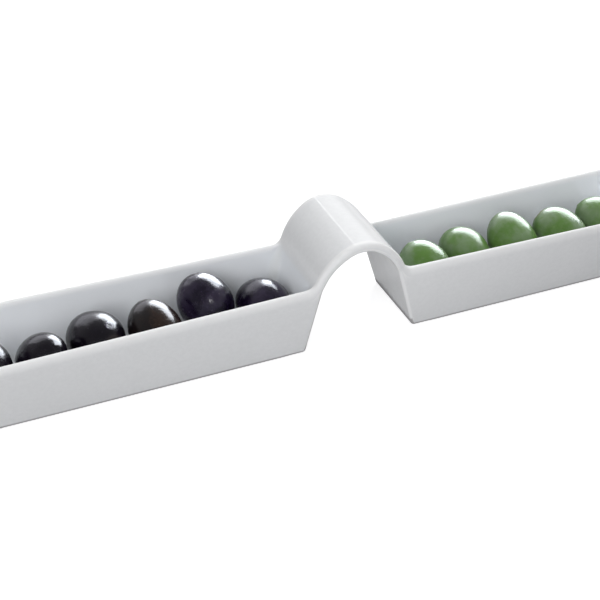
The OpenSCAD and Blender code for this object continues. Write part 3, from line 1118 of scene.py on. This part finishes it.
@dataclass(frozen=True)
class Lamp:
    """A soft box that looks at the middle of the dish, with its sizes in metres and power in watts."""

    name: str
    towards: tuple[float, float, float]
    power: float
    distance: float = 0.8
    size: tuple[float, float] = (0.5, 0.5)
    seen: Seen = Seen.MATT
    lit: Lit = Lit.ALL
    colour: Colour = (1.0, 1.0, 1.0)

    def build(self, groups: dict[Lit, bpy.types.Collection]) -> None:
        """Adds the lamp.

        Args:
            groups: The pieces that a lamp may light alone.
        """
        data = bpy.data.lights.new(self.name, "AREA")
        data.shape = "RECTANGLE"
        data.size, data.size_y = self.size
        data.energy, data.color = self.power, self.colour
        lamp = bpy.data.objects.new(self.name, data)
        way = Vector(self.towards).normalized()
        turned = way.to_track_quat("Z", "Y").to_matrix().to_4x4()
        lamp.matrix_world = Matrix.Translation(way * self.distance) @ turned
        lamp.visible_camera = False
        lamp.visible_diffuse = self.seen is Seen.MATT
        lamp.visible_glossy = self.seen is Seen.GLOSS
        if self.lit in groups:
            lamp.light_linking.receiver_collection = groups[self.lit]
        bpy.context.scene.collection.objects.link(lamp)


@dataclass
class Studio:
    """White floor and surroundings, soft ambient light and the lamps.

    Floor_drop, base_x, base_y and base_soft are in millimetres, and the other lengths in metres.
    Turn and rise are the limits between the front and the back, and between the horizon and the
    sky, as shares of the view's direction.
    """

    floor_size: float = 6.0
    floor_colour: Colour = (0.45, 0.45, 0.455)
    floor_drop: float = 0.05
    floor_glow: float = 0.80
    floor_fade: tuple[float, float] = (0.4, 0.9)
    floor_gloss: float = 0.25
    base_glow: float = 0.55
    base_x: tuple[float, float] = (25.0, 190.5)
    base_y: float = 18.0
    base_soft: float = 0.8
    ambient: float = 0.18
    ambient_colour: Colour = (0.985, 0.99, 1.0)
    front_gloss: float = 0.30
    back_gloss: tuple[float, float] = (0.10, 0.50)
    turn: tuple[float, float] = (-0.4, 0.4)
    rise: tuple[float, float] = (0.1, 0.45)
    lamps: tuple[Lamp, ...] = (
        Lamp("front_left", (-0.58, -0.60, 0.55), 3.3),
        Lamp("front", (0.15, -0.62, 0.77), 0.14),
        Lamp("near", (0.12, -0.90, 0.42), 0.020, 0.17, (0.10, 0.06)),
        Lamp("right", (0.707, 0.0, 0.707), 1.1),
        Lamp("key", (0.5, 0.5, 0.707), 4.05),
        Lamp("window", (0.646, 0.646, 0.407), 38.0, 0.8, (0.92, 0.73), Seen.GLOSS, Lit.OLIVES,
             (0.88, 0.93, 1.0)),
        Lamp("haze", (-0.216, 0.805, 0.553), 3.8, 0.85, (0.9, 0.65), Seen.GLOSS, Lit.OLIVES,
             (0.91, 0.915, 1.0)),
        Lamp("glint", (0.21, -0.90, 0.38), 0.90, 0.9, (0.05, 0.04), Seen.GLOSS, Lit.OLIVES),
        Lamp("spark", (-0.49, -0.38, 0.80), 3.0, 0.9, (0.08, 0.08), Seen.GLOSS, Lit.DISH),
    )
    card_from: tuple[float, float, float] = (0.09, 0.9, 0.0)
    card_to: tuple[float, float, float] = (0.95, 0.9, 1.1)
    card_rim_w: float = 0.035
    card_high: float = 0.4
    card_level: tuple[float, float] = (0.6, 1.25)
    card_rim_gain: float = 1.6

    def build(self, groups: dict[Lit, bpy.types.Collection]) -> None:
        """Adds the floor, the surroundings, the card and the lamps.

        Args:
            groups: The pieces that a lamp may light alone.
        """
        for lamp in self.lamps:
            lamp.build(groups)
        self.surroundings()
        self.floor()
        self.card()
        bpy.context.scene.view_settings.view_transform = "Standard"

    @staticmethod
    def stage_quad(name: str, corners: list[list[float]], finish: str) -> tuple[bpy.types.Object, Tree]:
        """Adds a staged quad with an empty material.

        Args:
            name: The quad's name.
            corners: Its corners in metres.
            finish: The material's name.

        Returns:
            The quad and the material's tree.
        """
        quad = mesh_object(name, np.array(corners), np.arange(4)[None, :], {})
        material, tree = start_material(finish)
        quad.data.materials.append(material)
        return quad, tree

    @staticmethod
    def shown(tree: Tree, full: float | Socket, in_gloss: float | Socket) -> Socket:
        """Level at which the background itself shows, by the kind of ray.

        Args:
            tree: The material's or the world's tree.
            full: Level to the camera and through glass.
            in_gloss: Level in reflections.

        Returns:
            The level, or zero for light on matt surfaces.
        """
        path = tree.add("ShaderNodeLightPath").outputs
        straight = tree.math("MAXIMUM", path["Is Camera Ray"], path["Is Transmission Ray"])
        mirrored = tree.times(path["Is Glossy Ray"], in_gloss)
        return tree.math("MAXIMUM", tree.times(straight, full), mirrored)

    def surroundings(self) -> None:
        """White to the camera, a pale studio in reflections, and the ambient light for the rest."""
        world = bpy.data.worlds.new("surroundings")
        world.use_nodes = True
        bpy.context.scene.world = world
        tree = Tree(world.node_tree)
        way = tree.split(tree.add("ShaderNodeTexCoord").outputs["Generated"])
        behind = tree.ramp(way["Y"], *self.turn)
        over_front = tree.ramp(way["Z"], *self.rise, *(level - self.front_gloss for level in self.back_gloss))
        gloss = tree.math("MULTIPLY_ADD", behind, over_front, self.front_gloss)
        level = tree.math("MAXIMUM", self.shown(tree, 1.0, gloss), self.ambient)
        light = tree.add("ShaderNodeBackground", {"Color": (*self.ambient_colour, 1.0), "Strength": level})
        tree.add("ShaderNodeOutputWorld", {"Surface": light.outputs[0]})

    def floor(self) -> None:
        """A pale matt floor that glows where the background shows, so only its shadows stay grey.

        It glows more where the lamps no longer reach. From below it is clear, and it lights the base
        that it carries, which would be black without it.
        """
        half, low = self.floor_size / 2, -self.floor_drop * MM
        corners = [[x * half, y * half, low] for x, y in ((-1, -1), (1, -1), (1, 1), (-1, 1))]
        _, tree = self.stage_quad("floor", corners, "pale_floor")
        matt = tree.add("ShaderNodeBsdfDiffuse", {"Color": (*self.floor_colour, 1.0)})
        place_in = tree.place_in()
        away = tree.vector_math("LENGTH", place_in, out="Value")
        full = tree.ramp(away, *self.floor_fade, self.floor_glow, 1.0)
        from_base = tree.times(self.covered(tree, place_in), self.base_glow)
        level = tree.math("MAXIMUM", self.shown(tree, full, self.floor_gloss), from_base)
        glow = tree.add("ShaderNodeEmission", {"Strength": level})
        both = tree.add("ShaderNodeAddShader", {0: matt.outputs[0], 1: glow.outputs[0]})
        clear = tree.add("ShaderNodeBsdfTransparent")
        below = tree.add("ShaderNodeNewGeometry").outputs["Backfacing"]
        sides = tree.add("ShaderNodeMixShader", {0: below, 1: both.outputs[0], 2: clear.outputs[0]})
        tree.surface(sides.outputs[0])

    def covered(self, tree: Tree, place_in: Socket) -> Socket:
        """Share of the floor that only the underside of the dish sees, for light on matt surfaces.

        Args:
            tree: The floor material's tree.
            place_in: Object coordinates.

        Returns:
            The share, 1 under either trough.
        """
        x, y, _ = tree.split(tree.vector_math("ABSOLUTE", place_in))
        x0, x1, y1, soft = (size * MM for size in (*self.base_x, self.base_y, self.base_soft))
        along = tree.times(tree.ramp(x, x0, x0 + soft), tree.ramp(x, x1 - soft, x1, 1.0, 0.0))
        inner = tree.times(along, tree.ramp(y, y1 - soft, y1, 1.0, 0.0))
        return tree.times(inner, tree.add("ShaderNodeLightPath").outputs["Is Diffuse Ray"])

    def card(self) -> None:
        """A bright upright card behind the dish, seen in reflections alone.

        It is paler at the top and along its left rim.
        """
        (x0, y, z0), (x1, _, z1) = self.card_from, self.card_to
        corners = [[x0, y, z0], [x1, y, z0], [x1, y, z1], [x0, y, z1]]
        card, tree = self.stage_quad("card", corners, "card_glow")
        spot = tree.split(tree.place_in())
        rim = tree.ramp(spot["X"], x0 + self.card_rim_w, x0 + 2 * self.card_rim_w, self.card_rim_gain, 0.0)
        level = tree.math("ADD", rim, tree.ramp(spot["Z"], 0.0, self.card_high, *self.card_level))
        tree.surface(tree.add("ShaderNodeEmission", {"Strength": level}).outputs[0])
        card.visible_camera = card.visible_diffuse = card.visible_shadow = card.visible_transmission = False


@dataclass
class DressedDish:
    """The whole object: the dish, the olives and their finishes."""

    view: View
    effects: Effects
    dish: PorcelainDish = field(default_factory=PorcelainDish)
    porcelain: Porcelain = field(default_factory=Porcelain)
    olives: tuple[Olive, ...] = (
        Olive("dark_olive_1", PLUM_SKIN, True, 0.02, seed=1),
        Olive("dark_olive_2", PLUM_SKIN, False, seed=2),
        Olive("dark_olive_3", BROWN_SKIN, False, seed=3),
        Olive("dark_olive_4", BLACK_SKIN, True, 0.02, (Scar((109.5, 325.0), 1.6),), seed=4),
        Olive("dark_olive_5", BLACK_SKIN, False, seed=5),
        Olive("dark_olive_6", BLACK_SKIN, True, seed=6),
        Olive("green_olive_1", GREEN_SKIN, False, seed=7),
        Olive("green_olive_2", GREEN_SKIN, True, seed=8),
        Olive("green_olive_3", GREEN_SKIN, False, seed=9),
        Olive("green_olive_4", GREEN_SKIN, True, seed=10),
        Olive("green_olive_5", GREEN_SKIN, False, seed=11),
    )

    def build(self) -> dict[Lit, bpy.types.Collection]:
        """Builds every piece and sets it on the body that carries it.

        Returns:
            The dish and the olives, for lamps that light one of them alone.
        """
        groups = {lit: bpy.data.collections.new(lit.value) for lit in (Lit.DISH, Lit.OLIVES)}
        dish = self.dish.build()
        groups[Lit.DISH].objects.link(dish)
        self.set_down(dish, "dish", "porcelain_dish", "porcelain", self.porcelain.material(self.effects))
        for olive in self.olives:
            olive.measure()
            slot = "green_skin" if olive.node.startswith("green") else "dark_skin"
            scars = [(olive.spot(self.view, scar), scar.radius * MM) for scar in olive.scars]
            piece = olive.build()
            groups[Lit.OLIVES].objects.link(piece)
            self.set_down(piece, olive.node, olive.node, slot,
                          olive.skin.material(self.effects, olive.node, scars))
        return groups

    @staticmethod
    def set_down(piece: bpy.types.Object, body: str, node: str, slot: str,
                 material: bpy.types.Material) -> None:
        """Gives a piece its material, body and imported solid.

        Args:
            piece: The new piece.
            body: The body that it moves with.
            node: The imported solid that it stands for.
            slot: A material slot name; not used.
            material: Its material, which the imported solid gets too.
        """
        piece.data.materials.append(material)
        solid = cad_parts[node]
        solid.data.materials.clear()
        solid.data.materials.append(material)
        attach(piece, body)
        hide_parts(node)
        LOG.info("%s rides on %s: %d faces", piece.name, body, len(piece.data.polygons))


def main() -> None:
    """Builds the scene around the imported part."""
    logging.basicConfig(level=logging.INFO, format="%(name)s: %(message)s")
    view = View()
    view.build()
    groups = DressedDish(view, Effects()).build()
    Studio().build(groups)


if __name__ == "__main__":
    main()
